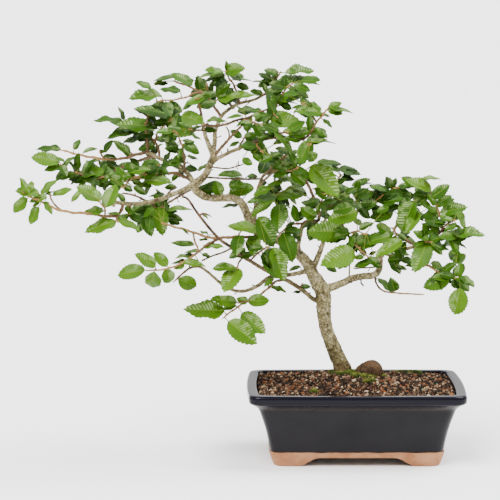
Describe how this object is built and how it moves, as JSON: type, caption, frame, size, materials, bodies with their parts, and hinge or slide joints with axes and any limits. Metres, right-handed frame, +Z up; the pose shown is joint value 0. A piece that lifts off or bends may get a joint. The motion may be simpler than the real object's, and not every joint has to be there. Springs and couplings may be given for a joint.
{
  "type": "korean hornbeam bonsai",
  "caption": "Miniature tree with a leaning, forked trunk and saw-edged green leaves, growing in a dark glazed rectangular pot of gritty soil on bracket feet.",
  "frame": {"origin": "centre of the bounding box, on the surface that the pot's feet stand on", "axes": "+Z up; +X along the pot's long side, away from the end that the tree leans over; +Y to the back, so the pictured front faces -Y"},
  "size_m": [0.5424, 0.2138, 0.4654],
  "materials": {
    "clay_and_glaze": "satin near-black blue glaze, with a bare pinkish tan clay foot",
    "screen_plastic": "matt",
    "soil_grit": "loose matt grit in browns, ochre and black",
    "stone_brown": "matt, rough",
    "bark": "matt tan grey bark with dark flecks",
    "leaf_green": "softly glossy green leaves with sunken veins"
  },
  "bodies": {
    "root": {"drain_screen_left": "screen_plastic", "drain_screen_right": "screen_plastic", "pot": "clay_and_glaze", "soil": "soil_grit", "spray_back_centre": "leaf_green", "spray_back_far": "leaf_green", "spray_back_left": "leaf_green", "spray_back_low": "leaf_green", "spray_back_middle": "leaf_green", "spray_back_right": "leaf_green", "spray_back_top": "leaf_green", "spray_bottom": "leaf_green", "spray_centre_hanging": "leaf_green", "spray_centre_middle": "leaf_green", "spray_centre_outer": "leaf_green", "spray_centre_right": "leaf_green", "spray_centre_side": "leaf_green", "spray_centre_top": "leaf_green", "spray_crown_far": "leaf_green", "spray_crown_inner": "leaf_green", "spray_crown_left": "leaf_green", "spray_crown_left_side": "leaf_green", "spray_crown_middle": "leaf_green", "spray_crown_right": "leaf_green", "spray_crown_right_low": "leaf_green", "spray_dark_twig": "leaf_green", "spray_far_left": "leaf_green", "spray_front_big": "leaf_green", "spray_left_arm": "leaf_green", "spray_left_arm_low": "leaf_green", "spray_left_fork": "leaf_green", "spray_left_inner": "leaf_green", "spray_left_middle": "leaf_green", "spray_left_under": "leaf_green", "spray_left_upper": "leaf_green", "spray_left_upright": "leaf_green", "spray_low_end": "leaf_green", "spray_low_front": "leaf_green", "spray_low_limb": "leaf_green", "spray_low_tip": "leaf_green", "spray_lower_left": "leaf_green", "spray_right_fork": "leaf_green", "spray_right_fork_back": "leaf_green", "spray_right_hanging": "leaf_green", "spray_right_inner": "leaf_green", "spray_right_low": "leaf_green", "spray_right_tip": "leaf_green", "spray_right_under": "leaf_green", "spray_right_up": "leaf_green", "spray_top_left": "leaf_green", "spray_top_middle": "leaf_green", "spray_top_right": "leaf_green", "spray_top_side": "leaf_green", "spray_trunk_low": "leaf_green", "spray_upper_right": "leaf_green", "stone": "stone_brown", "trunk_and_branches": "bark"}
  },
  "joints": []
}
